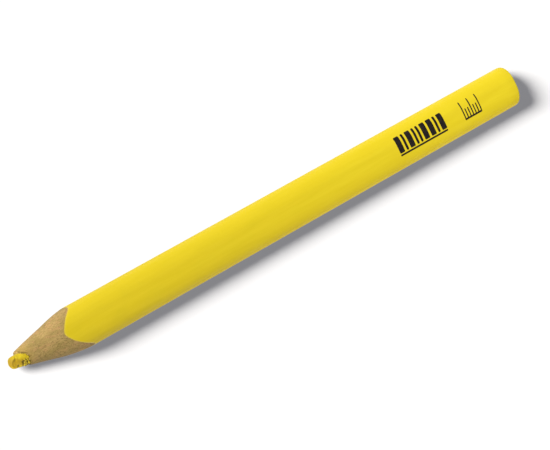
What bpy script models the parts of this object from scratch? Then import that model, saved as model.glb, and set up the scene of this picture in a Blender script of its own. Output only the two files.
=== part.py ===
"""Carpenter pencil: a flat-oval wooden pencil with a thick coloured core, lying on a broad face.

The long axis is X, with the sharpened end at -X and the square-cut butt at +X. The width is
along Y and the thickness along Z. The origin is under the middle of the pencil, on the surface
that it lies on. Two grooved slats are glued round the core, and a lacquer sleeve covers them.
Everything is then cut by one sharpening envelope, so the lacquer ends in a scalloped edge.
"""

import math

import bmesh
import bpy

MM = 0.001

# Driving dimensions
LENGTH = 240.0 * MM
WIDTH = 12.0 * MM
THICKNESS = 7.7 * MM
FLAT_WIDTH = 2.5 * MM
OVAL_POWER = 2.3
LACQUER_THICKNESS = 0.15 * MM
CORE_WIDTH = 3.7 * MM
CORE_THICKNESS = 3.6 * MM
CORE_FLAT = 1.0 * MM
CORE_OFFSET = -0.25 * MM
GLUE_FILM = 0.08 * MM
FIT_GAP = 0.03 * MM

# Sharpened end, measured back from the tip
NOSE_LENGTH = 2.6 * MM
NOSE_RADIUS = 1.73 * MM
CONE_END = 17.2 * MM
CONE_SLOPE = 0.196
BLEND_END = 31.7 * MM
FINAL_SLOPE = 0.02
TAPER_CLEAR = 40.0 * MM
TAPER_SQUASH = 1.27
SHARPENING_OFFSET = 0.11 * MM

# Imprint on the upper broad face, measured back from the butt
IMPRINT_FILM = 0.02 * MM
IMPRINT_HEIGHT = 5.6 * MM
IMPRINT_OFFSET = 0.3 * MM
BAR_MARK_START = 39.2 * MM
BAR_RULE = 0.5 * MM
BAR_GAP = 1.0 * MM
WIDE = 2.5 * MM
NARROW = 1.1 * MM
BAR_PATTERN = (WIDE, NARROW, WIDE, WIDE, NARROW, NARROW, WIDE, NARROW, WIDE)
TICK_MARK_START = 20.5 * MM
TICK_RULE = 0.5 * MM
TICK_WIDTH = 0.55 * MM
TICK_PITCH = 1.43 * MM
TICK_COUNT = 7
TICKS_PER_LONG_ONE = 3
SHORT_TICK = 3.2 * MM

# Mesh density
NOSE_POINTS = 20
TURN_STEPS = 48
ARC_STEPS = 6
FILM_ROWS = 8
SHARP_ANGLE = math.radians(35.0)
CUTTER_OVERRUN = 10.0 * MM

TIP_X = -LENGTH / 2.0
BUTT_X = LENGTH / 2.0
MID_Z = THICKNESS / 2.0


def clear_scene():
    for item in list(bpy.data.objects):
        bpy.data.objects.remove(item, do_unlink=True)


def new_collection(name):
    collection = bpy.data.collections.new(name)
    bpy.context.scene.collection.children.link(collection)
    return collection


def material(name, colour, roughness):
    made = bpy.data.materials.new(name)
    made.use_nodes = True
    shader = made.node_tree.nodes["Principled BSDF"]
    shader.inputs["Base Color"].default_value = (*colour, 1.0)
    shader.inputs["Roughness"].default_value = roughness
    shader.inputs["Metallic"].default_value = 0.0
    return made


def finished_mesh(name, shape):
    """Mesh from a bmesh, shaded smooth apart from its real edges."""
    mesh = bpy.data.meshes.new(name)
    shape.to_mesh(mesh)
    shape.free()
    mesh.shade_smooth()
    mesh.set_sharp_from_angle(angle=SHARP_ANGLE)
    return mesh


def add_object(name, mesh, collection, skin=None):
    made = bpy.data.objects.new(name, mesh)
    collection.objects.link(made)
    if skin is not None:
        mesh.materials.append(skin)
    return made


def oval_height(y, width, thickness, flat):
    """Half height of the flat oval at the distance y from its middle."""
    half = width / 2.0
    crown = thickness / 2.0 / (1.0 - (flat / width) ** OVAL_POWER) ** (1.0 / OVAL_POWER)
    reach = min(abs(y) / half, 1.0)
    return min(thickness / 2.0, crown * (1.0 - reach ** OVAL_POWER) ** (1.0 / OVAL_POWER))


def oval_nose(width, thickness, flat):
    """Points of the rounded edge at +Y, from the lower flat's end to the upper flat's end."""
    crown = thickness / 2.0 / (1.0 - (flat / width) ** OVAL_POWER) ** (1.0 / OVAL_POWER)
    last = math.asin((thickness / 2.0 / crown) ** (OVAL_POWER / 2.0))
    points = []
    for step in range(NOSE_POINTS + 1):
        turn = last * (2.0 * step / NOSE_POINTS - 1.0)
        y = width / 2.0 * math.cos(turn) ** (2.0 / OVAL_POWER)
        z = math.copysign(crown * abs(math.sin(turn)) ** (2.0 / OVAL_POWER), turn)
        points.append((y, z))
    return points


def flat_oval(width, thickness, flat):
    """Closed outline of a superellipse whose two broad faces are planed flat."""
    right = oval_nose(width, thickness, flat)
    left = [(-y, z) for y, z in reversed(right)]
    return right + left


def half_oval(width, thickness, flat, parting):
    """Upper part of the flat oval, above the height called parting."""
    kept = [(y, z) for y, z in flat_oval(width, thickness, flat) if z > parting]
    edge = width / 2.0
    return [(edge, parting)] + kept + [(-edge, parting)]


def prism(name, outline, start, end, collection, skin=None):
    """Extrude a closed outline of (y, z) points along X."""
    shape = bmesh.new()
    corners = [shape.verts.new((start, y, MID_Z + z)) for y, z in outline]
    face = shape.faces.new(corners)
    pulled = bmesh.ops.extrude_face_region(shape, geom=[face])["geom"]
    moved = [item for item in pulled if isinstance(item, bmesh.types.BMVert)]
    bmesh.ops.translate(shape, verts=moved, vec=(end - start, 0.0, 0.0))
    bmesh.ops.recalc_face_normals(shape, faces=shape.faces)
    mesh = finished_mesh(name, shape)
    return add_object(name, mesh, collection, skin)


def hide_tool(cutter):
    cutter.hide_render = True
    cutter.display_type = "WIRE"
    return cutter


def cutting_prism(name, outline, collection):
    """Cutter with a constant outline that runs past both ends of the pencil."""
    return hide_tool(prism(name, outline, TIP_X - CUTTER_OVERRUN, BUTT_X + CUTTER_OVERRUN, collection))


def boolean(target, cutter, operation):
    cut = target.modifiers.new(cutter.name, "BOOLEAN")
    cut.operation = operation
    cut.solver = "EXACT"
    cut.object = cutter


def taper_profile():
    """Radius against distance from the tip: worn nose, straight cone, then a blend to full width."""
    profile = []
    for step in range(ARC_STEPS):
        turn = math.pi / 2.0 * step / ARC_STEPS
        profile.append((NOSE_LENGTH * (1.0 - math.cos(turn)), NOSE_RADIUS * math.sin(turn)))
    profile.append((NOSE_LENGTH, NOSE_RADIUS))
    cone_radius = NOSE_RADIUS + CONE_SLOPE * (CONE_END - NOSE_LENGTH)
    blend = BLEND_END - CONE_END
    bend = (CONE_SLOPE - FINAL_SLOPE) / (2.0 * blend)
    for step in range(ARC_STEPS + 1):
        run = blend * step / ARC_STEPS
        profile.append((CONE_END + run, cone_radius + CONE_SLOPE * run - bend * run * run))
    last_radius = profile[-1][1] + FINAL_SLOPE * (TAPER_CLEAR - BLEND_END)
    profile.append((TAPER_CLEAR, last_radius))
    return profile


def sharpening_envelope(collection):
    """Turned bullet shape, squashed to an oval, that holds what the sharpener leaves."""
    clear_radius = WIDTH
    far_end = -LENGTH / 2.0 - CUTTER_OVERRUN
    points = [(radius, 0.0, LENGTH / 2.0 - back) for back, radius in taper_profile()]
    points.append((clear_radius, 0.0, LENGTH / 2.0 - TAPER_CLEAR))
    points.append((clear_radius, 0.0, far_end))
    points.append((0.0, 0.0, far_end))
    edges = [(index, index + 1) for index in range(len(points) - 1)]
    mesh = bpy.data.meshes.new("sharpening_envelope")
    mesh.from_pydata(points, edges, [])
    cutter = add_object("sharpening_envelope", mesh, collection)
    turn = cutter.modifiers.new("turn", "SCREW")
    turn.axis = "Z"
    turn.steps = TURN_STEPS
    turn.render_steps = TURN_STEPS
    turn.use_merge_vertices = True
    turn.merge_threshold = 0.000001
    cutter.rotation_euler = (0.0, -math.pi / 2.0, 0.0)
    cutter.scale = (1.0 / TAPER_SQUASH, 1.0, 1.0)
    cutter.location = (0.0, SHARPENING_OFFSET, MID_Z)
    return hide_tool(cutter)


def add_core(parts, tools, envelope, skin):
    """Coloured core, with its worn rounded end, and the groove that the slats hold it in."""
    fit = 2.0 * FIT_GAP
    snug = [(y + CORE_OFFSET, z) for y, z in flat_oval(CORE_WIDTH, CORE_THICKNESS, CORE_FLAT)]
    grown = [(y + CORE_OFFSET, z) for y, z in flat_oval(CORE_WIDTH + fit, CORE_THICKNESS + fit, CORE_FLAT)]
    core = prism("marking_core", snug, TIP_X, BUTT_X, parts, skin)
    boolean(core, envelope, "INTERSECT")
    return cutting_prism("core_groove", grown, tools)


def add_slats(parts, envelope, groove, skin):
    """Two grooved wooden slats, one above and one below the glue line."""
    inset = 2.0 * (LACQUER_THICKNESS + FIT_GAP)
    parting = GLUE_FILM / 2.0 + FIT_GAP
    upper = half_oval(WIDTH - inset, THICKNESS - inset, FLAT_WIDTH, parting)
    lower = [(y, -z) for y, z in upper]
    for name, outline in (("wood_slat_upper", upper), ("wood_slat_lower", lower)):
        slat = prism(name, outline, TIP_X, BUTT_X, parts, skin)
        boolean(slat, groove, "DIFFERENCE")
        boolean(slat, envelope, "INTERSECT")


def add_glue_lines(parts, envelope, skin):
    """Thin films of glue between the slats, on both sides of the core."""
    outer = WIDTH / 2.0 - LACQUER_THICKNESS - FIT_GAP
    half = GLUE_FILM / 2.0
    for name, side in (("glue_line_left", 1.0), ("glue_line_right", -1.0)):
        inner = CORE_OFFSET + side * (CORE_WIDTH / 2.0 + 2.0 * FIT_GAP)
        outline = [(inner, -half), (side * outer, -half), (side * outer, half), (inner, half)]
        film = prism(name, outline, TIP_X, BUTT_X, parts, skin)
        boolean(film, envelope, "INTERSECT")


def add_lacquer(parts, tools, envelope, skin):
    """Lacquer sleeve, open at the butt and cut back in a scallop at the sharpened end."""
    coat = prism("lacquer_coat", flat_oval(WIDTH, THICKNESS, FLAT_WIDTH), TIP_X, BUTT_X, parts, skin)
    inset = 2.0 * LACQUER_THICKNESS
    inside = flat_oval(WIDTH - inset, THICKNESS - inset, FLAT_WIDTH)
    hollow = cutting_prism("lacquer_inside", inside, tools)
    boolean(coat, hollow, "DIFFERENCE")
    boolean(coat, envelope, "INTERSECT")


def covered(cells, x, y):
    return any(x0 < x < x1 and y0 < y < y1 for x0, x1, y0, y1 in cells)


def grid_lines(values):
    """The distinct values in order, with those that differ only by rounding taken as one."""
    return sorted({round(value, 9) for value in values})


def film_surface(name, cells, parts, skin):
    """Ink film on the upper broad face, from a set of joined cells (x0, x1, y0, y1)."""
    rows = [IMPRINT_OFFSET + IMPRINT_HEIGHT * (row / FILM_ROWS - 0.5) for row in range(FILM_ROWS + 1)]
    xs = grid_lines([x for x0, x1, _, _ in cells for x in (x0, x1)])
    ys = grid_lines(rows + [y for _, _, y0, y1 in cells for y in (y0, y1)])
    shape = bmesh.new()
    corners = {}
    for x in xs:
        for y in ys:
            height = MID_Z + oval_height(y, WIDTH, THICKNESS, FLAT_WIDTH) + FIT_GAP
            corners[x, y] = shape.verts.new((x, y, height))
    for xa, xb in zip(xs, xs[1:]):
        for ya, yb in zip(ys, ys[1:]):
            if covered(cells, (xa + xb) / 2.0, (ya + yb) / 2.0):
                shape.faces.new([corners[key] for key in ((xa, ya), (xb, ya), (xb, yb), (xa, yb))])
    unused = [corner for corner in shape.verts if not corner.link_faces]
    bmesh.ops.delete(shape, geom=unused, context="VERTS")
    film = add_object(name, finished_mesh(name, shape), parts, skin)
    thicken = film.modifiers.new("thickness", "SOLIDIFY")
    thicken.thickness = IMPRINT_FILM
    thicken.offset = 1.0


def add_imprints(parts, skin):
    """Two generic marks: a row of solid bars, and a short scale of thin ticks."""
    low = IMPRINT_OFFSET - IMPRINT_HEIGHT / 2.0
    high = IMPRINT_OFFSET + IMPRINT_HEIGHT / 2.0
    bars = []
    right = BUTT_X - BAR_MARK_START
    edge = right
    for width in BAR_PATTERN:
        bars.append((edge - width, edge, low, high))
        edge -= width + BAR_GAP
    bars.append((edge + BAR_GAP, right, low, low + BAR_RULE))
    film_surface("imprint_bar_mark", bars, parts, skin)

    ticks = []
    right = BUTT_X - TICK_MARK_START
    left = right - (TICK_COUNT - 1) * TICK_PITCH - TICK_WIDTH
    for index in range(TICK_COUNT):
        start = left + index * TICK_PITCH
        top = high if index % TICKS_PER_LONG_ONE == 0 else low + SHORT_TICK
        ticks.append((start, start + TICK_WIDTH, low, top))
    ticks.append((left, right, low, low + TICK_RULE))
    film_surface("imprint_tick_mark", ticks, parts, skin)


def build():
    clear_scene()
    parts = new_collection("carpenter_pencil")
    tools = new_collection("carpenter_pencil_cutters")

    wood = material("basswood", (0.46, 0.32, 0.14), 0.7)
    core = material("yellow_core", (0.72, 0.53, 0.03), 0.55)
    glue = material("wood_glue", (0.45, 0.30, 0.13), 0.5)
    lacquer = material("yellow_lacquer", (0.80, 0.60, 0.02), 0.4)
    ink = material("black_ink", (0.02, 0.018, 0.018), 0.5)

    envelope = sharpening_envelope(tools)
    groove = add_core(parts, tools, envelope, core)
    add_slats(parts, envelope, groove, wood)
    add_glue_lines(parts, envelope, glue)
    add_lacquer(parts, tools, envelope, lacquer)
    add_imprints(parts, ink)


build()
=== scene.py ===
"""Looks of the carpenter pencil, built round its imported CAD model.

The pencil lies on a broad face with its sharpened end at -X. Each CAD solid is stood for by a
finer piece: two sharpened wooden slats, the worn core, the glue lines, the lacquer sleeve and
the two stamped marks. Their places and outer sizes come from the frame's boxes. Sizes are in
metres where they carry MM and in mm where a comment says so. Angles run round the pencil's
axis from +Y over the top, and "back" is the distance back from the tip.
"""

import math

import bpy
import numpy as np
from mathutils import Matrix, Vector, noise


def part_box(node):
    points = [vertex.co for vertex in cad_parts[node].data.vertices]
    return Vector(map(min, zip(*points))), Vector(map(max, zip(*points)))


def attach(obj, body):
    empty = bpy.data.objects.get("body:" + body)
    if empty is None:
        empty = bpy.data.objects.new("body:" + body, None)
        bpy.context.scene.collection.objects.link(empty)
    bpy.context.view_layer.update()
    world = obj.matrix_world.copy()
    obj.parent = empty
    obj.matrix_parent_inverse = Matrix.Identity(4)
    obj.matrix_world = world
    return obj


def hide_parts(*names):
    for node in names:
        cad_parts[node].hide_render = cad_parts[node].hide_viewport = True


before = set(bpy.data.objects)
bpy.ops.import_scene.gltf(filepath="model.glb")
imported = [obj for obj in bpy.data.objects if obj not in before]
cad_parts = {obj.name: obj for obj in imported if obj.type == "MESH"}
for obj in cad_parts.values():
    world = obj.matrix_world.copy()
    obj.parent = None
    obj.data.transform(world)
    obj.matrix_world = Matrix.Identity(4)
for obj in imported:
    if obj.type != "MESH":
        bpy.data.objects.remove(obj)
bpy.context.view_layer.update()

MM = 0.001

# Places read from the frame
coat_low, coat_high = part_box("lacquer_coat")
core_low, core_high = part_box("marking_core")
glue_low, glue_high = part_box("glue_line_left")
bars_low, bars_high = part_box("imprint_bar_mark")
ticks_low, ticks_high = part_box("imprint_tick_mark")
TIP_X = core_low.x
BUTT_X = core_high.x
LENGTH = BUTT_X - TIP_X
MID_Z = (coat_low.z + coat_high.z) / 2.0
HALF_WIDTH = (coat_high.y - coat_low.y) / 2.0
HALF_THICKNESS = (coat_high.z - coat_low.z) / 2.0
CORE_HALF_WIDTH = (core_high.y - core_low.y) / 2.0
CORE_HALF_THICKNESS = (core_high.z - core_low.z) / 2.0
CORE_Y = (core_high.y + core_low.y) / 2.0
GLUE_HALF = (glue_high.z - glue_low.z) / 2.0

# The casing's flat oval and its layers, as in the CAD model
FLAT_WIDTH = 2.5 * MM
CORE_FLAT = 1.0 * MM
OVAL_POWER = 2.3
FLAT_BLEND = 0.06 * MM
LACQUER = 0.15 * MM
WOOD_INSET = 0.18 * MM
GROOVE_GAP = 0.03 * MM
GLUE_GAP = 0.05 * MM
GLUE_SINK = 0.01 * MM
SEAM_GAP = 0.002 * MM

# The sharpened end, measured back from the tip
NOSE_LENGTH = 2.6 * MM
NOSE_RADIUS = 1.73 * MM
CONE_END = 17.2 * MM
CONE_SLOPE = 0.196
BLEND_END = 31.7 * MM
FINAL_SLOPE = 0.02
TAPER_SQUASH = 1.27
SHARPENING_OFFSET = 0.11 * MM
TIP_SWELL = 0.15 * MM
SWELL_LENGTH = 16.0 * MM

# The blade lays a bevel of lacquer open, stays a little under the lacquer's skin, and leaves
# the wood a step down to where it runs on under the lacquer
BEVEL = 0.40 * MM
CUT_DEPTH = 0.03 * MM
STEP = 0.02 * MM
# Near the tip the groove and the glue may take only this share of the wood's radius
GROOVE_LIMIT = 0.86
GLUE_LIMIT = 0.90

# How the paint edge strays from a clean cut: wear all round and at the two broad faces, then
# height and grain of its ripple and its chips, in mm
EDGE_WEAR = 0.15
CORNER_WEAR = 0.30
RIPPLE, RIPPLE_GRAIN = 0.10, 1.6
CHIPS, CHIP_GRAIN = 0.50, 0.5

# Relief of the bare wood, in mm: wood left proud of the core at +Y, grain and the blade's flats
PROUD = 0.20
GRAIN_HEIGHT = 0.012
FLATS_HEIGHT = 0.020

# The worn end of the core: a blunt nose, nearly round in section at its front, which leans
# back at +Y, with one flat rubbed on its upper side
WORN_LENGTH = 2.2 * MM
WORN_POWER = 3.2
WORN_DEPTH = 0.03 * MM
ROUND_LENGTH = 2.6 * MM
ROUND_SHARE = 0.85
ROUND_SPREAD = 0.86
FRONT_TILT = 0.14
FRONT_SETBACK = 0.20 * MM
RUBBED_NORMAL = Vector((-0.22, -0.42, 0.88)).normalized()
RUBBED_POINT = Vector((2.0, 0.9, 1.48)) * MM
RUBBED_BLEND = 0.24 * MM
CASING_BLEND = 0.20 * MM
EXPOSED_LENGTH = 8.5 * MM
# Height and grain of its lumps, grit and crumbs, and depth of its gap beside the wood, in mm
LUMP_HEIGHT, LUMP_GRAIN = 0.045, 0.9
GRIT_HEIGHT, GRIT_GRAIN = 0.030, 0.30
CRUMB_HEIGHT, CRUMB_GRAIN = 0.40, 0.34
GAP_DEPTH = 0.22
# Pits in it: back, angle, length, width and depth, in mm and degrees
NOTCHES = (
    (3.8, 152.0, 0.26, 0.75, 0.48),
    (2.3, 165.0, 0.40, 0.26, 0.32),
    (2.8, 120.0, 0.35, 0.20, 0.06),
    (4.6, 60.0, 0.50, 0.15, 0.08),
    (1.2, 60.0, 0.25, 0.35, 0.10),
    (3.2, 250.0, 0.40, 0.40, 0.20),
)
# A dark brown band on the wood reaches this far past the core
CORE_BAND_WIDTH = 0.45 * MM

# The ink: its film, and the wavy sides of a bar
INK_TOP = 0.014 * MM
INK_BOTTOM = -0.01 * MM
INK_CORNER = 0.22 * MM
INK_WAVER = 0.035 * MM
INK_GRAIN = 0.5 * MM

# How finely the meshes are divided
AROUND = 192
HALF_TURN = AROUND // 2
BARE_ROWS = 80
SKIN_ROWS = 70
GLUE_ROWS = 60
CORE_AROUND = 144
CORE_ROWS = 126
INK_ACROSS = 20
INK_ALONG = 8
# Samples along a curve before it is divided evenly
CURVE_SAMPLES = 6001
NOSE_SAMPLES = 400


# ---------------------------------------------------------------- shapes as formulas

def signed_power(value, power):
    """Power of the value's size, with the value's sign."""
    return np.sign(value) * np.abs(value) ** power


def fade(value, start, stop):
    """One up to the start, then falling evenly to zero at the stop."""
    return np.clip((stop - value) / (stop - start), 0.0, 1.0)


def soft_min(a, b, reach):
    """Smaller of a and b, with the crease between them rounded over the given reach."""
    blend = fade(np.abs(a - b), 0.0, reach)
    return np.minimum(a, b) - blend * blend * reach / 4.0


def oval_crown(half_width, half_thickness, flat):
    """Height that the oval would have without its flat."""
    drop = 1.0 - (flat / 2.0 / half_width) ** OVAL_POWER
    return half_thickness / drop ** (1.0 / OVAL_POWER)


def oval_height(y, half_width, half_thickness, flat):
    """Height of the flat oval over its middle plane, at the distance y from its middle."""
    reach = np.clip(np.abs(y) / half_width, 0.0, 1.0)
    crown = oval_crown(half_width, half_thickness, flat)
    rise = crown * (1.0 - reach ** OVAL_POWER) ** (1.0 / OVAL_POWER)
    return soft_min(rise, half_thickness, FLAT_BLEND)


def oval_section(half_width, half_thickness, flat, count):
    """Evenly spaced points round the flat oval, from its +Y edge and over its top."""
    turn = np.linspace(0.0, 2.0 * math.pi, CURVE_SAMPLES)
    y = half_width * signed_power(np.cos(turn), 2.0 / OVAL_POWER)
    z = np.sign(np.sin(turn)) * oval_height(y, half_width, half_thickness, flat)
    steps = np.hypot(np.diff(y), np.diff(z))
    run = np.concatenate([[0.0], np.cumsum(steps)])
    wanted = np.linspace(0.0, run[-1], count + 1)[:-1]
    return np.interp(wanted, run, y), np.interp(wanted, run, z)


def polar(y, z):
    """Angle round the axis, and distance from it."""
    return np.arctan2(z, y), np.hypot(y, z)


def taper_radius(back):
    """Half width of the sharpened shape: a round nose, a cone and a blend into the casing."""
    back = np.asarray(back, float)
    inside = fade(back, 0.0, NOSE_LENGTH)
    nose = NOSE_RADIUS * np.sqrt(1.0 - inside * inside)
    cone = NOSE_RADIUS + CONE_SLOPE * (back - NOSE_LENGTH)
    run = np.clip(back - CONE_END, 0.0, BLEND_END - CONE_END)
    past = np.clip(back - BLEND_END, 0.0, None)
    bend = (CONE_SLOPE - FINAL_SLOPE) / (2.0 * (BLEND_END - CONE_END))
    blended = cone - bend * run * run - (CONE_SLOPE - FINAL_SLOPE) * past
    return np.where(back < NOSE_LENGTH, nose, blended)


def taper_spread(angle):
    """How far the sharpened shape reaches at an angle, for a half width of one."""
    return 1.0 / np.hypot(np.cos(angle), TAPER_SQUASH * np.sin(angle))


def taper_aside(angle, back):
    """How far the cut stands out from its cone: a little off centre to +Y, and wider at the tip."""
    swell = TIP_SWELL * fade(back, 0.0, SWELL_LENGTH)
    return SHARPENING_OFFSET * np.cos(angle) + swell * np.abs(np.cos(angle))


def taper_reach(angle, back):
    """Radius of the sharpened shape at an angle and a distance back."""
    return taper_radius(back) * taper_spread(angle) + taper_aside(angle, back)


def taper_back(angle, radius):
    """Distance back at which the sharpened shape, past its swell, reaches a radius."""
    backs = np.linspace(0.0, 60.0 * MM, CURVE_SAMPLES)
    needed = (radius - SHARPENING_OFFSET * np.cos(angle)) / taper_spread(angle)
    return np.interp(needed, taper_radius(backs), backs)


def wander(x, y, z, seed):
    """Smooth noise between -1 and 1 at points given in units of its own size."""
    shape = np.broadcast(x, y, z).shape
    xs, ys, zs = (np.broadcast_to(part, shape).ravel() for part in (x, y, z))
    values = [noise.noise(Vector((a + seed, b - seed, c + 0.37 * seed))) for a, b, c in zip(xs, ys, zs)]
    return np.array(values).reshape(shape)


# ---------------------------------------------------------------- layout of the sharpened end

COAT_Y, COAT_Z = oval_section(HALF_WIDTH, HALF_THICKNESS, FLAT_WIDTH, AROUND)
COAT_ANGLE, COAT_RADIUS = polar(COAT_Y, COAT_Z)


def paint_edge():
    """How far back the lacquer's skin ends at each point round the oval."""
    worn = EDGE_WEAR + CORNER_WEAR * np.sin(COAT_ANGLE) ** 8
    y, z = COAT_Y / MM, COAT_Z / MM
    ripple = RIPPLE * wander(y / RIPPLE_GRAIN, z / RIPPLE_GRAIN, 0.0, 3.1)
    chipped = np.clip(wander(y / CHIP_GRAIN, z / CHIP_GRAIN, 4.0, 8.7) - 0.25, 0.0, None)
    return taper_back(COAT_ANGLE, COAT_RADIUS) + (worn + ripple + CHIPS * chipped) * MM


def wood_front(angle):
    """How far back the wood gives way to the core: a slanting, wavy and ragged line."""
    side, lift = np.cos(angle), np.sin(angle)
    # In mm up to the last line
    back = 5.25 - 1.60 * side + 0.10 * lift + 0.09 * np.sin(2.0 * angle)
    back -= 0.17 * np.cos(3.0 * angle) + 0.35 * np.sin(3.0 * angle)
    back += 0.30 * wander(2.2 * side, 2.2 * lift, 2.0, 19.2)
    back += 0.20 * wander(6.0 * side, 6.0 * lift, 7.0, 1.9)
    return back * MM


EDGE_BACK = paint_edge()
CUT_BACK = EDGE_BACK - BEVEL
FRONT_BACK = wood_front(COAT_ANGLE)


# ---------------------------------------------------------------- meshes

def mesh_object(name, points, faces, materials, face_materials=None, sharp=35.0):
    """Smooth object of the given points and faces, with creases past the sharp angle."""
    mesh = bpy.data.meshes.new(name)
    mesh.from_pydata([tuple(point) for point in points], [], faces)
    for item in materials:
        mesh.materials.append(item)
    if face_materials is not None:
        mesh.polygons.foreach_set("material_index", face_materials)
    mesh.validate()
    mesh.shade_smooth()
    mesh.set_sharp_from_angle(angle=math.radians(sharp))
    made = bpy.data.objects.new(name, mesh)
    bpy.context.scene.collection.objects.link(made)
    return made


def ring_points(back, y, z):
    """Points of rings, one ring to a row, from their distance back and place round the axis."""
    return np.stack([TIP_X + back, y, MID_Z + z], axis=-1).reshape(-1, 3)


def tube_faces(rows, count, flip=False):
    """Quads between closed rings of count points each."""
    faces = []
    for row in range(rows - 1):
        for column in range(count):
            after = (column + 1) % count
            quad = (row * count + column, row * count + after,
                    (row + 1) * count + after, (row + 1) * count + column)
            faces.append(quad[::-1] if flip else quad)
    return faces


def keep_values(piece, name, values):
    """Store one number for each point of a piece; points past the last one get zero."""
    data = np.zeros(len(piece.data.vertices))
    data[:values.size] = values.ravel()
    piece.data.attributes.new(name, "FLOAT", "POINT").data.foreach_set("value", data)


def finish_piece(piece, node):
    """Attach the piece to the root body, hide the CAD part it stands for, and keep its yellow glow off the
    grey shadow on the floor.
    """
    piece.visible_diffuse = False
    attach(piece, "root")
    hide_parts(node)
    return piece


# ---------------------------------------------------------------- slats and glue

def wood_relief(back, angle):
    """How far the bare wood stands out from the plain taper."""
    along = back / MM
    side, lift = np.cos(angle), np.sin(angle)
    proud = PROUD * np.clip(side, 0.0, 1.0) * fade(along, 8.0, 17.0)
    grain = GRAIN_HEIGHT * wander(along / 5.0, 9.0 * side, 9.0 * lift, 2.2)
    flats = FLATS_HEIGHT * wander(along / 9.0, 2.4 * side, 2.4 * lift, 6.6)
    return (grain + flats + proud) * MM


def slat_rings(columns):
    """Distance back and radius of a slat's rings: bare wood, then hidden wood up to the butt."""
    angle, skin = COAT_ANGLE[columns], COAT_RADIUS[columns]
    front, cut = FRONT_BACK[columns], CUT_BACK[columns]
    share = np.linspace(0.0, 1.0, BARE_ROWS)[:, None] ** 0.9
    back = front + (cut - front) * share
    radius = np.minimum(taper_reach(angle, back) + wood_relief(back, angle), skin - CUT_DEPTH)
    hidden_back = [cut + STEP, cut + 3.0 * MM]
    hidden_back += [np.full(len(columns), LENGTH * part) for part in (0.25, 0.5, 0.75)]
    hidden_radius = [skin - WOOD_INSET] * len(hidden_back)
    # The butt's rim is slightly rounded: distance from the butt and drop, in mm
    for from_butt, drop in ((0.30, 0.0), (0.10, 0.05), (0.0, 0.16)):
        hidden_back.append(np.full(len(columns), LENGTH - from_butt * MM))
        hidden_radius.append(skin - WOOD_INSET - drop * MM)
    return np.vstack([back] + hidden_back), np.vstack([radius] + hidden_radius)


def slat_groove(columns, y, z, seam):
    """Inner side of a slat: the core's groove, or a thin lip where the taper cuts below it."""
    groove_y, groove_z = oval_section(CORE_HALF_WIDTH + GROOVE_GAP, CORE_HALF_THICKNESS + GROOVE_GAP,
                                      CORE_FLAT, AROUND)
    inner_y = np.broadcast_to(groove_y[columns] + CORE_Y, y.shape)
    inner_z = np.broadcast_to(groove_z[columns], z.shape).copy()
    inner_z[:, (0, -1)] = seam
    over = np.hypot(inner_y, inner_z) > GROOVE_LIMIT * np.hypot(y, z)
    inner_y = np.where(over, GROOVE_LIMIT * y, inner_y)
    inner_z = np.where(over, GROOVE_LIMIT * z, inner_z)
    inner_z[:, (0, -1)] = seam
    return inner_y, inner_z


def there_and_back(outer, inner):
    """Rings that run over a slat's outer side, then back along its inner side."""
    return np.concatenate([outer, inner[:, ::-1]], axis=1)


def slat_faces(rows, count):
    """Tube round the rings, and a strip of quads over each end; the butt's strip comes last."""
    faces = tube_faces(rows, count)
    for row, at_butt in ((0, False), (rows - 1, True)):
        base = row * count
        for column in range(HALF_TURN):
            other = count - 1 - column
            quad = (base + column, base + column + 1, base + other - 1, base + other)
            faces.append(quad if at_butt else quad[::-1])
    return faces


def make_slat(name, node, first, materials):
    """Half of the casing, from section point first and half way round, with its core groove."""
    columns = (first + np.arange(HALF_TURN + 1)) % AROUND
    seam = (GLUE_HALF + SEAM_GAP) * (1.0 if first == 0 else -1.0)
    back, radius = slat_rings(columns)
    y = radius * np.cos(COAT_ANGLE[columns])
    z = radius * np.sin(COAT_ANGLE[columns])
    z[:, (0, -1)] = seam
    inner_y, inner_z = slat_groove(columns, y, z, seam)
    points = ring_points(there_and_back(back, back), there_and_back(y, inner_y), there_and_back(z, inner_z))
    faces = slat_faces(len(back), 2 * len(columns))
    chosen = [0] * (len(faces) - HALF_TURN) + [1] * HALF_TURN
    slat = mesh_object(name, points, faces, materials, chosen)
    near_core = fade(back - FRONT_BACK[columns], 0.0, CORE_BAND_WIDTH)
    keep_values(slat, "near_core", there_and_back(near_core, near_core))
    return finish_piece(slat, node)


def make_glue_line(name, node, side, material):
    """Thin ribbon of glue between the slats, all but level with the wood; side 1 is +Y and -1 is -Y."""
    column, angle = (0, 0.0) if side > 0 else (HALF_TURN, math.pi)
    bare_back = np.linspace(FRONT_BACK[column], CUT_BACK[column], GLUE_ROWS)
    bare_reach = taper_reach(angle, bare_back) + wood_relief(bare_back, angle) - GLUE_SINK
    back = np.concatenate([bare_back, [CUT_BACK[column] + STEP, LENGTH]])
    outer = side * np.concatenate([bare_reach, np.full(2, HALF_WIDTH - WOOD_INSET)])
    groove = CORE_Y + side * (CORE_HALF_WIDTH + GLUE_GAP)
    inner = np.where(side * groove > side * outer * GLUE_LIMIT, outer * GLUE_LIMIT, groove)
    y = np.stack([outer, outer, inner, inner], axis=1)
    z = np.broadcast_to(GLUE_HALF * np.array([1.0, -1.0, -1.0, 1.0]), y.shape)
    points = ring_points(np.broadcast_to(back[:, None], y.shape), y, z)
    last = 4 * (len(back) - 1)
    ends = [(0, 1, 2, 3), (last + 3, last + 2, last + 1, last)]
    faces = tube_faces(len(back), 4, flip=side > 0)
    faces += ends if side > 0 else [face[::-1] for face in ends]
    film = mesh_object(name, points, faces, [material])
    return finish_piece(film, node)


# ---------------------------------------------------------------- core

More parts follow.
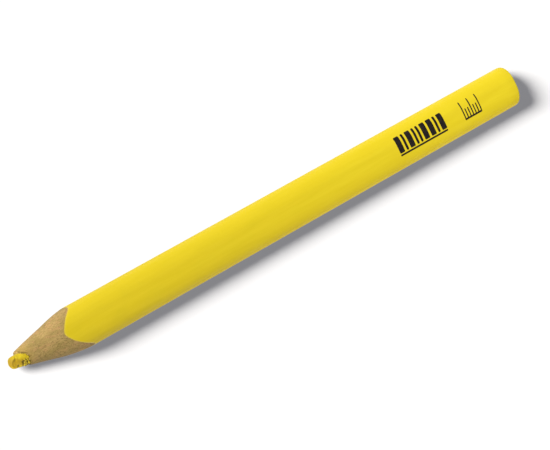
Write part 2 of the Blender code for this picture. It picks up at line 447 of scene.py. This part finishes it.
def worn_profile():
    """Profile of the core's worn nose and the cone behind it: back, radius and outward slope."""
    turn = np.linspace(0.0, math.pi / 2.0, NOSE_SAMPLES)[1:]
    nose_back = WORN_LENGTH * (1.0 - np.cos(turn) ** (2.0 / WORN_POWER))
    nose_radius = np.sin(turn) ** (2.0 / WORN_POWER) * taper_radius(WORN_LENGTH)
    cone_back = np.linspace(WORN_LENGTH, EXPOSED_LENGTH, NOSE_SAMPLES)[1:]
    back = np.concatenate([nose_back, cone_back])
    radius = np.concatenate([nose_radius, taper_radius(cone_back)])
    run = np.concatenate([[0.0], np.cumsum(np.hypot(np.diff(back), np.diff(radius)))])
    wanted = np.linspace(0.0, run[-1], CORE_ROWS)
    back, radius = np.interp(wanted, run, back), np.interp(wanted, run, radius)
    slope = np.arctan2(np.gradient(radius), np.gradient(back))
    return back[:, None], radius[:, None], slope[:, None]


def worn_surface(angle, reach, back, radius):
    """Radius of the core's bare end, and how much of its rubbed flat is at each point."""
    rounder = ROUND_SHARE * fade(back, 0.0, ROUND_LENGTH)
    spread = taper_spread(angle) * (1.0 - rounder) + ROUND_SPREAD * rounder
    aside = taper_aside(angle, back) * np.clip(radius / NOSE_RADIUS, 0.0, 1.0)
    worn = radius * spread + aside - WORN_DEPTH
    # The flat is a plane. Facing says how squarely a direction from the axis meets it, and for
    # directions that hardly meet it the plane is far off.
    hardly, far_off = 0.05, 1.0
    facing = RUBBED_NORMAL.y * np.cos(angle) + RUBBED_NORMAL.z * np.sin(angle)
    room = RUBBED_NORMAL.dot(RUBBED_POINT) - RUBBED_NORMAL.x * back
    rubbed = np.where(facing > hardly, room / np.maximum(facing, hardly), far_off)
    flat = np.clip((worn - rubbed) / (0.22 * MM), 0.0, 1.0) * fade(back, 3.5 * MM, 4.3 * MM)
    worn = soft_min(worn, rubbed, RUBBED_BLEND)
    return soft_min(np.broadcast_to(reach, worn.shape), worn, CASING_BLEND), flat


def exposed(back):
    """One where the core is bare, fading to zero inside the casing."""
    return fade(back, EXPOSED_LENGTH - 2.0 * MM, EXPOSED_LENGTH)


def notch(depth, angle, reach, back, turn, along, around, deep):
    """Depth of one pit at each point, for its place (mm, degrees), size and depth in mm."""
    aside = (angle - math.radians(turn) + math.pi) % (2.0 * math.pi) - math.pi
    away = ((depth - back) / along) ** 2 + (aside * reach / around) ** 2
    return deep * np.exp(-away)


def crumbled_wax(angle, back, radius, surface):
    """How far the core's surface is pushed out by lumps, pits and crumbs, and the painted shade in its
    pits, gap and hollows.
    """
    side, lift = np.cos(angle), np.sin(angle)
    depth, across, up = back / MM, surface / MM * side, surface / MM * lift
    lumps = LUMP_HEIGHT * wander(depth, across / LUMP_GRAIN, up / LUMP_GRAIN, 4.4)
    grit = GRIT_HEIGHT * wander(depth / GRIT_GRAIN, across / GRIT_GRAIN, up / GRIT_GRAIN, 9.1)
    pits = sum(notch(depth, angle, surface / MM, *place) for place in NOTCHES)
    # A gap beside the wood, from the top round to -Y, and crumbs in front of the wood at -Y
    to_wood = (wood_front(angle) - back) / MM
    gap = fade(np.abs(to_wood - 0.05), 0.0, 0.30) * np.clip(np.sin(angle - math.radians(40.0)), 0.0, 1.0)
    crumbly = fade(np.abs(to_wood - 1.3), 0.64, 1.44) * np.clip(-1.5 * side, 0.0, 1.0)
    crumbs = crumbly * wander(depth / CRUMB_GRAIN, across / CRUMB_GRAIN, up / CRUMB_GRAIN, 14.2)
    push = (lumps + grit - pits - GAP_DEPTH * gap + CRUMB_HEIGHT * crumbs) * MM
    push = push * exposed(back) * np.clip(radius / (0.5 * MM), 0.0, 1.0)
    # Painted shade in the pits, in the gap beside the wood, over the crumbs and most in their hollows
    recess_shade = 3.0 * pits + 0.9 * gap + 0.45 * crumbly - 2.6 * np.minimum(crumbs, 0.0)
    return push, np.clip(recess_shade, 0.0, 1.0) * exposed(back)


def fan_faces(rows, count):
    """Tube round the rings, closed by a fan to one more point at each end."""
    faces = tube_faces(rows, count)
    tip, end = rows * count, rows * count + 1
    last = (rows - 1) * count
    for column in range(count):
        after = (column + 1) % count
        faces.append((tip, after, column))
        faces.append((end, last + column, last + after))
    return faces


def make_core(materials):
    """Marking core with a squat, worn end, rubbed flat on its upper side and with pits in it."""
    section_y, section_z = oval_section(CORE_HALF_WIDTH, CORE_HALF_THICKNESS, CORE_FLAT, CORE_AROUND)
    angle, reach = polar(section_y + CORE_Y, section_z)
    side, lift = np.cos(angle), np.sin(angle)
    back, radius, slope = worn_profile()
    surface, flat = worn_surface(angle, reach, back, radius)
    push, recess_shade = crumbled_wax(angle, back, radius, surface)
    # The front leans back at +Y, and all of it sits back a little
    tilted = FRONT_TILT * (surface * side + 0.35 * MM) * fade(back, 0.0, 3.5 * MM)
    tilted = tilted + FRONT_SETBACK * fade(back, 0.0, 2.5 * MM)
    worn_back = back + tilted - push * np.sin(slope)
    worn_radius = surface + push * np.cos(slope)
    # Inside the casing the core is plain, with a small chamfer at the butt
    tail = np.array([12.0 * MM, 20.0 * MM, 0.5 * LENGTH, LENGTH - 0.10 * MM, LENGTH - 0.02 * MM])
    trim = np.array([0.0, 0.0, 0.0, 0.0, 0.08 * MM])
    rings_back = np.vstack([worn_back, np.broadcast_to(tail[:, None], (len(tail), CORE_AROUND))])
    rings_radius = np.vstack([worn_radius, reach - trim[:, None]])
    points = ring_points(rings_back, rings_radius * side, rings_radius * lift)
    tip = points[:CORE_AROUND].mean(axis=0)
    end = (TIP_X + tail[-1], CORE_Y, MID_Z)
    points = np.vstack([points, [tip, end]])
    core = mesh_object("core", points, fan_faces(len(rings_back), CORE_AROUND), materials, sharp=60.0)
    # Painted shade on the worn front, in a narrow patch at -Y and a wide one at +Y
    gather = 2.6 - 2.0 * np.clip(1.5 * side + 0.6 * lift, 0.0, 1.0)
    front_shade = np.clip(np.sin(slope), 0.0, 1.0) ** gather * fade(back, 0.75 * MM, 3.25 * MM)
    # Masks of painted shade: in the pits and gap, on the rubbed flat and on the worn front
    keep_values(core, "pits", recess_shade)
    keep_values(core, "rubbed", flat * exposed(back))
    keep_values(core, "front_shade", front_shade)
    return finish_piece(core, "marking_core")


# ---------------------------------------------------------------- lacquer

def make_lacquer(materials):
    """Lacquer sleeve: cut front edge, outer skin, rounded lip at the butt and inner skin."""
    cut_radius = np.minimum(taper_reach(COAT_ANGLE, CUT_BACK), COAT_RADIUS - CUT_DEPTH)
    edge_radius = np.minimum(taper_reach(COAT_ANGLE, EDGE_BACK), COAT_RADIUS)
    skin_start = EDGE_BACK + 0.10 * MM
    skin_end = LENGTH - 0.45 * MM
    # Distance back and radius of each ring: the bevel, the skin, the butt's lip, the inner skin
    rings = [
        (CUT_BACK + 0.01 * MM, cut_radius - 0.02 * MM),
        (CUT_BACK, cut_radius),
        (EDGE_BACK - 0.05 * MM, edge_radius - 0.008 * MM),
        (skin_start, COAT_RADIUS),
    ]
    for share in np.linspace(0.0, 1.0, SKIN_ROWS)[1:]:
        rings.append((skin_start + (skin_end - skin_start) * share ** 1.3, COAT_RADIUS))
    rings += [
        (LENGTH - 0.20 * MM, COAT_RADIUS - 0.02 * MM),
        (LENGTH - 0.06 * MM, COAT_RADIUS - 0.08 * MM),
        (LENGTH - 0.04 * MM, COAT_RADIUS - LACQUER),
        (CUT_BACK + 2.5 * MM, COAT_RADIUS - LACQUER),
    ]
    back = np.array([np.broadcast_to(ring_back, AROUND) for ring_back, _ in rings])
    radius = np.array([ring_radius for _, ring_radius in rings])
    points = ring_points(back, radius * np.cos(COAT_ANGLE), radius * np.sin(COAT_ANGLE))
    faces = tube_faces(len(rings), AROUND)
    last = (len(rings) - 1) * AROUND
    for column in range(AROUND):
        after = (column + 1) % AROUND
        faces.append((last + column, last + after, after, column))
    cut_faces = AROUND * 3
    chosen = [1] * cut_faces + [0] * (len(faces) - cut_faces)
    coat = mesh_object("lacquer", points, faces, materials, chosen, sharp=50.0)
    return finish_piece(coat, "lacquer_coat")


# ---------------------------------------------------------------- stamped marks

def stamped_bar(points, faces, left, right, low, high, seed):
    """Add one bar of ink: a thin closed film with rounded corners that follows the broad face."""
    corner = min(INK_CORNER, 0.4 * (right - left))
    middle, half = (left + right) / 2.0, (right - left) / 2.0
    y = np.linspace(low, high, INK_ACROSS)[:, None]
    past = np.clip(np.maximum(low + corner - y, y - (high - corner)), 0.0, corner)
    shrink = corner - np.sqrt(corner * corner - past * past)
    steps = np.linspace(-1.0, 1.0, INK_ALONG)
    grid_y = np.broadcast_to(y, (INK_ACROSS, INK_ALONG))
    grid_x = middle + steps * (half - shrink)
    waver = INK_WAVER * wander(grid_x / INK_GRAIN, grid_y / INK_GRAIN, 0.0, seed)
    grid_x = grid_x + waver * np.abs(steps) ** 3
    surface = MID_Z + oval_height(grid_y, HALF_WIDTH, HALF_THICKNESS, FLAT_WIDTH)
    base, size = len(points), grid_x.size
    for lift in (INK_TOP, INK_BOTTOM):
        points.extend(np.stack([grid_x, grid_y, surface + lift], axis=-1).reshape(-1, 3))
    for row in range(INK_ACROSS - 1):
        for column in range(INK_ALONG - 1):
            above = base + row * INK_ALONG + column
            below = above + size
            faces.append((above, above + 1, above + INK_ALONG + 1, above + INK_ALONG))
            faces.append((below, below + INK_ALONG, below + INK_ALONG + 1, below + 1))
    # Points round the film's rim in order, then a quad down each stretch of it
    rim = [row * INK_ALONG for row in range(INK_ACROSS - 1, 0, -1)]
    rim += list(range(INK_ALONG - 1))
    rim += [row * INK_ALONG + INK_ALONG - 1 for row in range(INK_ACROSS - 1)]
    rim += [(INK_ACROSS - 1) * INK_ALONG + column for column in range(INK_ALONG - 1, 0, -1)]
    for here, there in zip(rim, rim[1:] + rim[:1]):
        faces.append((base + there, base + here, base + here + size, base + there + size))


def make_bar_mark(material):
    """Row of wide and narrow bars on a thin rule."""
    wide, narrow, gap, rule = 2.5 * MM, 1.1 * MM, 1.0 * MM, 0.5 * MM
    low, high = bars_low.y, bars_high.y
    points, faces = [], []
    edge = bars_high.x
    for index, width in enumerate((wide, narrow, wide, wide, narrow, narrow, wide, narrow, wide)):
        stamped_bar(points, faces, edge - width, edge, low + 1.6 * rule, high, index * 3.7)
        edge -= width + gap
    stamped_bar(points, faces, bars_low.x, bars_high.x, low, low + rule, 50.0)
    mark = mesh_object("bar_mark", points, faces, [material], sharp=40.0)
    return finish_piece(mark, "imprint_bar_mark")


def make_tick_mark(material):
    """Short scale of thin ticks on a rule, every third tick long."""
    count, width, rule, short = 7, 0.55 * MM, 0.5 * MM, 3.2 * MM
    low, high = ticks_low.y, ticks_high.y
    pitch = (ticks_high.x - ticks_low.x - width) / (count - 1)
    points, faces = [], []
    for index in range(count):
        left = ticks_low.x + index * pitch
        top = high if index % 3 == 0 else low + short
        stamped_bar(points, faces, left, left + width, low + rule * 0.5, top, 80.0 + index * 2.9)
    stamped_bar(points, faces, ticks_low.x, ticks_high.x, low, low + rule, 110.0)
    mark = mesh_object("tick_mark", points, faces, [material], sharp=40.0)
    return finish_piece(mark, "imprint_tick_mark")


# ---------------------------------------------------------------- materials

class Nodes:
    """Short way to lay out a material's nodes. Colours are linear (r, g, b)."""

    def __init__(self, name):
        self.material = bpy.data.materials.new(name)
        self.material.use_nodes = True
        self.tree = self.material.node_tree
        self.shader = self.tree.nodes["Principled BSDF"]
        self.place = self.tree.nodes.new("ShaderNodeTexCoord").outputs["Object"]

    def link(self, source, target):
        self.tree.links.new(source, target)

    def noise(self, grain, detail=2.0, rough=0.5, offset=0.0):
        """Noise whose grains measure (x, y, z) mm."""
        mapping = self.tree.nodes.new("ShaderNodeMapping")
        mapping.inputs["Scale"].default_value = [1.0 / (size * MM) for size in grain]
        mapping.inputs["Location"].default_value = (offset, offset * 0.7, offset * 1.3)
        self.link(self.place, mapping.inputs["Vector"])
        texture = self.tree.nodes.new("ShaderNodeTexNoise")
        texture.inputs["Scale"].default_value = 1.0
        texture.inputs["Detail"].default_value = detail
        texture.inputs["Roughness"].default_value = rough
        self.link(mapping.outputs["Vector"], texture.inputs["Vector"])
        return texture.outputs["Fac"]

    def ramp(self, value, low, high, out_low=0.0, out_high=1.0):
        """Smooth step from out_low to out_high as the value goes from low to high."""
        mapped = self.tree.nodes.new("ShaderNodeMapRange")
        mapped.interpolation_type = "SMOOTHSTEP"
        numbers = {"From Min": low, "From Max": high, "To Min": out_low, "To Max": out_high}
        for key, number in numbers.items():
            mapped.inputs[key].default_value = number
        self.link(value, mapped.inputs["Value"])
        return mapped.outputs["Result"]

    def across(self, low, high, out_low, out_high):
        """Smooth step across the pencil, between two places on Y in mm."""
        return self.ramp(self.axis("Y"), low * MM, high * MM, out_low, out_high)

    def from_tip(self, low, high, out_low, out_high):
        """Smooth step along the pencil, between two distances back in mm."""
        return self.ramp(self.axis("X"), TIP_X + low * MM, TIP_X + high * MM, out_low, out_high)

    def axis(self, name):
        """Place of each point on X, Y or Z."""
        split = self.tree.nodes.new("ShaderNodeSeparateXYZ")
        self.link(self.place, split.inputs["Vector"])
        return split.outputs[name]

    def stored(self, name):
        """A number that the mesh holds for each of its points."""
        made = self.tree.nodes.new("ShaderNodeAttribute")
        made.attribute_name = name
        return made.outputs["Fac"]

    def times(self, first, second):
        """Product of a socket and a number or another socket."""
        made = self.tree.nodes.new("ShaderNodeMath")
        made.operation = "MULTIPLY"
        self.link(first, made.inputs[0])
        if isinstance(second, float):
            made.inputs[1].default_value = second
        else:
            self.link(second, made.inputs[1])
        return made.outputs["Value"]

    def over(self, under, mask, tint):
        """Tint laid over a colour where the mask is one; each is an (r, g, b) or a socket."""
        made = self.tree.nodes.new("ShaderNodeMix")
        made.data_type = "RGBA"
        self.link(mask, made.inputs["Factor"])
        # Sockets 6 and 7 take the node's two colours, and output 2 is their mix
        for socket, value in ((made.inputs[6], under), (made.inputs[7], tint)):
            if isinstance(value, tuple):
                socket.default_value = (*value, 1.0)
            else:
                self.link(value, socket)
        return made.outputs[2]

    def bump(self, height, distance, under=None):
        """Bumps of a height texture, this many mm high, on top of those under them."""
        made = self.tree.nodes.new("ShaderNodeBump")
        made.inputs["Distance"].default_value = distance * MM
        self.link(height, made.inputs["Height"])
        if under is not None:
            self.link(under, made.inputs["Normal"])
        return made.outputs["Normal"]

    def finish(self, colour=None, roughness=None, normal=None, **fixed):
        """Join what varies to the shader, and set what is the same all over on its sockets."""
        for key, socket in (("Base Color", colour), ("Roughness", roughness), ("Normal", normal)):
            if socket is not None:
                self.link(socket, self.shader.inputs[key])
        for key, value in fixed.items():
            self.shader.inputs[key.replace("_", " ")].default_value = value
        return self.material


def lacquer_material():
    """Satin yellow lacquer with faint streaks, and painted shade that darkens it towards the tip and at +Y.
    """
    unshaded_deep, unshaded_pale = (0.700, 0.556, 0.016), (0.730, 0.584, 0.020)
    tip_shade_deep, tip_shade_pale = (0.580, 0.453, 0.014), (0.610, 0.477, 0.018)
    cloudy, darker_yellow, fleck = (0.675, 0.508, 0.016), (0.560, 0.434, 0.014), (0.45, 0.30, 0.03)
    n = Nodes("yellow_lacquer")
    streaks = n.noise((22.0, 1.3, 1.3), detail=3.0, rough=0.55)
    clouds = n.noise((9.0, 4.0, 4.0), offset=5.0)
    specks = n.noise((0.30, 0.22, 0.22), rough=0.6, offset=9.0)
    streaky = n.ramp(streaks, 0.3, 0.7)
    unshaded = n.over(unshaded_deep, streaky, unshaded_pale)
    painted_shade = n.over(tip_shade_deep, streaky, tip_shade_pale)
    # Painted shade: darker from the butt towards the tip, in place of light falling off there
    colour = n.over(painted_shade, n.ramp(n.axis("X"), TIP_X + 20.0 * MM, BUTT_X), unshaded)
    colour = n.over(colour, n.ramp(clouds, 0.35, 0.65, 0.0, 0.25), cloudy)
    # Painted shade over the +Y side, a darker yellow that tones down the light there
    colour = n.over(colour, n.across(1.5, 5.0, 0.0, 0.40), darker_yellow)
    colour = n.over(colour, n.ramp(specks, 0.70, 0.80, 0.0, 0.35), fleck)
    roughness = n.ramp(clouds, 0.3, 0.7, 0.46, 0.56)
    peel = n.noise((0.9, 0.7, 0.7), offset=2.0)
    grain = n.noise((14.0, 0.35, 0.35), offset=7.0)
    normal = n.bump(peel, 0.006, under=n.bump(grain, 0.010))
    return n.finish(colour, roughness, normal, IOR=1.40, Specular_IOR_Level=0.07)


def lacquer_cut_material():
    """Coats of lacquer laid open by the blade, in a darker yellow that is partly painted shade."""
    deep, pale = (0.52, 0.40, 0.012), (0.60, 0.46, 0.03)
    n = Nodes("lacquer_cut")
    layers = n.noise((0.5, 0.5, 0.5))
    return n.finish(n.over(deep, n.ramp(layers, 0.3, 0.7), pale), Roughness=0.55)


def wood_material():
    """Sharpened basswood: patches, fibres and pores, painted shade at -Y near the tip, and a dark brown
    band next to the core.
    """
    dark, light, rosy = (0.305, 0.218, 0.072), (0.395, 0.268, 0.100), (0.425, 0.245, 0.104)
    mottled, fibrous, porous = (0.240, 0.178, 0.050), (0.22, 0.150, 0.050), (0.11, 0.07, 0.025)
    lower_side_shade, speckled = (0.195, 0.145, 0.042), (0.145, 0.098, 0.028)
    dusty, dark_brown = (0.34, 0.23, 0.04), (0.130, 0.085, 0.018)
    n = Nodes("basswood")
    tone = n.noise((7.0, 1.8, 1.8), detail=3.0, rough=0.55, offset=1.0)
    patches = n.noise((2.8, 1.0, 1.0), offset=4.0)
    mottle = n.noise((1.1, 0.45, 0.45), rough=0.6, offset=11.0)
    fibre = n.noise((3.2, 0.16, 0.16), detail=3.0, rough=0.6, offset=2.0)
    pores = n.noise((0.7, 0.14, 0.14), detail=1.0, offset=8.0)
    specks = n.noise((0.55, 0.38, 0.38), detail=1.0, offset=17.0)
    band_noise = n.noise((0.5, 0.4, 0.4), rough=0.6, offset=13.0)
    colour = n.over(dark, n.ramp(tone, 0.38, 0.62), light)
    colour = n.over(colour, n.ramp(patches, 0.50, 0.66, 0.0, 0.75), rosy)
    colour = n.over(colour, n.ramp(mottle, 0.34, 0.50, 0.60, 0.0), mottled)
    colour = n.over(colour, n.ramp(fibre, 0.38, 0.60, 0.6, 0.0), fibrous)
    colour = n.over(colour, n.ramp(pores, 0.60, 0.70, 0.0, 0.7), porous)
    # Painted shade: darker at -Y, fully up to 12 mm back from the tip and fading to a tenth by 24 mm
    painted_shade = n.times(n.across(-3.0, 1.2, 0.42, 0.0), n.from_tip(12.0, 24.0, 1.0, 0.1))
    colour = n.over(colour, painted_shade, lower_side_shade)
    spotted = n.times(n.ramp(specks, 0.54, 0.66), n.across(-1.5, 2.5, 0.65, 0.10))
    colour = n.over(colour, spotted, speckled)
    colour = n.over(colour, n.from_tip(4.0, 9.0, 0.35, 0.0), dusty)
    # A dark brown band on the wood next to the core
    core_band = n.times(n.stored("near_core"), n.ramp(band_noise, 0.38, 0.60, 0.40, 0.95))
    colour = n.over(colour, core_band, dark_brown)
    roughness = n.ramp(fibre, 0.3, 0.7, 0.62, 0.82)
    normal = n.bump(pores, 0.015, under=n.bump(fibre, 0.030))
    return n.finish(colour, roughness, normal, Specular_IOR_Level=0.12)


def end_grain_material():
    """Basswood cut across, at the butt."""
    dark, light, porous = (0.46, 0.31, 0.13), (0.54, 0.38, 0.17), (0.26, 0.16, 0.06)
    n = Nodes("basswood_end_grain")
    pores = n.noise((0.5, 0.10, 0.10), rough=0.6, offset=3.0)
    rings = n.noise((4.0, 0.45, 3.0), offset=6.0)
    colour = n.over(dark, n.ramp(rings, 0.35, 0.65), light)
    colour = n.over(colour, n.ramp(pores, 0.55, 0.70, 0.0, 0.6), porous)
    return n.finish(colour, normal=n.bump(pores, 0.03), Roughness=0.85)


def glue_material():
    """Dried brown wood glue."""
    deep, pale = (0.27, 0.17, 0.06), (0.36, 0.24, 0.09)
    n = Nodes("wood_glue")
    lumps = n.noise((0.8, 0.3, 0.3))
    return n.finish(n.over(deep, n.ramp(lumps, 0.3, 0.7), pale), Roughness=0.45)


def core_material():
    """Yellow wax crayon, darker further back from the tip, with painted shade on its worn front, its rubbed
    flat and its pits.
    """
    deep, pale, grainy = (0.47, 0.350, 0.009), (0.55, 0.425, 0.018), (0.34, 0.20, 0.015)
    rubbed, darker_yellow = (0.29, 0.160, 0.007), (0.34, 0.235, 0.010)
    front_shade, recess_dark = (0.175, 0.108, 0.005), (0.07, 0.045, 0.004)
    n = Nodes("yellow_core")
    lumps = n.noise((0.9, 0.6, 0.6), detail=3.0, rough=0.55, offset=1.0)
    grains = n.noise((0.30, 0.30, 0.30), rough=0.6, offset=6.0)
    colour = n.over(deep, n.ramp(lumps, 0.35, 0.65), pale)
    colour = n.over(colour, n.ramp(grains, 0.58, 0.75, 0.0, 0.4), grainy)
    # Painted shade on the rubbed flat
    colour = n.over(colour, n.times(n.stored("rubbed"), 0.65), rubbed)
    colour = n.over(colour, n.from_tip(2.0, 6.0, 0.0, 0.35), darker_yellow)
    # Painted shade on the worn front
    colour = n.over(colour, n.times(n.stored("front_shade"), 0.92), front_shade)
    # Painted shade in the pits, the gap and among the crumbs
    colour = n.over(colour, n.times(n.stored("pits"), 0.85), recess_dark)
    roughness = n.ramp(lumps, 0.3, 0.7, 0.50, 0.68)
    normal = n.bump(grains, 0.03, under=n.bump(lumps, 0.05))
    return n.finish(colour, roughness, normal, Specular_IOR_Level=0.15)


def ink_material():
    """Black stamped ink with small voids that the lacquer shows through."""
    deep, pale, bare = (0.010, 0.008, 0.008), (0.020, 0.016, 0.014), (0.50, 0.37, 0.02)
    n = Nodes("black_ink")
    body = n.noise((0.8, 0.8, 0.8))
    voids = n.noise((0.16, 0.16, 0.16), rough=0.6, offset=4.0)
    colour = n.over(deep, n.ramp(body, 0.3, 0.7), pale)
    colour = n.over(colour, n.ramp(voids, 0.70, 0.76, 0.0, 0.8), bare)
    return n.finish(colour, n.ramp(body, 0.3, 0.7, 0.45, 0.60), Specular_IOR_Level=0.08)


# ---------------------------------------------------------------- stage, lights and camera

def floor_material():
    """Plain matt floor, nearly white."""
    n = Nodes("pale_floor")
    return n.finish(Base_Color=(0.92, 0.92, 0.92, 1.0), Roughness=0.9, Specular_IOR_Level=0.1)


def make_floor():
    """Floor wide enough to have no edge in any view."""
    half = 60.0
    mesh = bpy.data.meshes.new("floor")
    corners = [(-half, -half, 0.0), (half, -half, 0.0), (half, half, 0.0), (-half, half, 0.0)]
    mesh.from_pydata(corners, [], [(0, 1, 2, 3)])
    mesh.materials.append(floor_material())
    floor = bpy.data.objects.new("floor", mesh)
    bpy.context.scene.collection.objects.link(floor)


def make_world():
    """Weak even light from all round; the camera itself sees plain white."""
    world = bpy.data.worlds.new("studio")
    world.use_nodes = True
    tree = world.node_tree
    sky = tree.nodes["Background"]
    sky.inputs["Color"].default_value = (0.94, 0.94, 1.0, 1.0)
    sky.inputs["Strength"].default_value = 0.272
    seen = tree.nodes.new("ShaderNodeBackground")
    seen.inputs["Color"].default_value = (1.0, 1.0, 1.0, 1.0)
    seen.inputs["Strength"].default_value = 1.0
    path = tree.nodes.new("ShaderNodeLightPath")
    choose = tree.nodes.new("ShaderNodeMixShader")
    tree.links.new(path.outputs["Is Camera Ray"], choose.inputs[0])
    tree.links.new(sky.outputs[0], choose.inputs[1])
    tree.links.new(seen.outputs[0], choose.inputs[2])
    tree.links.new(choose.outputs[0], tree.nodes["World Output"].inputs["Surface"])
    bpy.context.scene.world = world


def make_lamp(name, kind, power, colour):
    """Light of the given kind, linked to the scene but not yet placed."""
    data = bpy.data.lights.new(name, kind)
    data.energy = power
    data.color = colour
    lamp = bpy.data.objects.new(name, data)
    bpy.context.scene.collection.objects.link(lamp)
    return lamp


def make_lights(pencil):
    """A soft far light from beyond the tip, and a low strip at -Y that lights the pencil alone."""
    from_tip_side = Vector((-2.85, 0.93, 1.1))
    key = make_lamp("key", "SUN", 8.2, (1.0, 0.98, 0.95))
    key.data.angle = math.radians(13.5)
    key.rotation_euler = from_tip_side.to_track_quat("Z", "Y").to_euler()

    place, aim = Vector((0.075, -0.30, 0.03)), Vector((0.035, 0.0, 0.004))
    fill = make_lamp("fill", "AREA", 0.60, (1.0, 0.90, 0.66))
    fill.data.shape = "RECTANGLE"
    fill.data.size = 0.34
    fill.data.size_y = 0.04
    fill.location = place
    fill.rotation_euler = (aim - place).to_track_quat("-Z", "Y").to_euler()
    fill.visible_camera = False
    receivers = bpy.data.collections.new("pencil")
    for piece in pencil:
        receivers.objects.link(piece)
    fill.light_linking.receiver_collection = receivers


def make_camera():
    """Long lens that looks down the pencil from beyond its tip, rolled as a hand-held picture is."""
    elevation = math.radians(38.981)
    swing = math.radians(3.652)
    roll = math.radians(66.405)
    distance = 1.18966
    shift_right, shift_up = 0.61 * MM, 2.71 * MM
    flat = math.cos(elevation)
    back = Vector((-flat * math.cos(swing), flat * math.sin(swing), math.sin(elevation)))
    level = Vector((0.0, 0.0, 1.0)).cross(back).normalized()
    right = Matrix.Rotation(roll, 3, back) @ level
    up = back.cross(right)
    place = Vector((0.0, 0.0, MID_Z)) + back * distance - right * shift_right - up * shift_up
    data = bpy.data.cameras.new("camera")
    data.lens = 290.97
    data.sensor_width = 36.0
    data.clip_start = 0.05
    data.clip_end = 200.0
    camera = bpy.data.objects.new("camera", data)
    turn = Matrix((right, up, back)).transposed()
    camera.matrix_world = Matrix.Translation(place) @ turn.to_4x4()
    bpy.context.scene.collection.objects.link(camera)
    bpy.context.scene.camera = camera


def build():
    """Make the camera, the pencil's pieces, the floor and the light."""
    make_camera()
    wood = [wood_material(), end_grain_material()]
    lacquer = [lacquer_material(), lacquer_cut_material()]
    ink = ink_material()
    glue = glue_material()
    pencil = [
        make_slat("upper_slat", "wood_slat_upper", 0, wood),
        make_slat("lower_slat", "wood_slat_lower", HALF_TURN, wood),
        make_glue_line("glue_left", "glue_line_left", 1.0, glue),
        make_glue_line("glue_right", "glue_line_right", -1.0, glue),
        make_core([core_material()]),
        make_lacquer(lacquer),
        make_bar_mark(ink),
        make_tick_mark(ink),
    ]
    make_floor()
    make_world()
    make_lights(pencil)
    # Blender's default view would grey the yellow and the white floor
    bpy.context.scene.view_settings.view_transform = "Standard"


build()
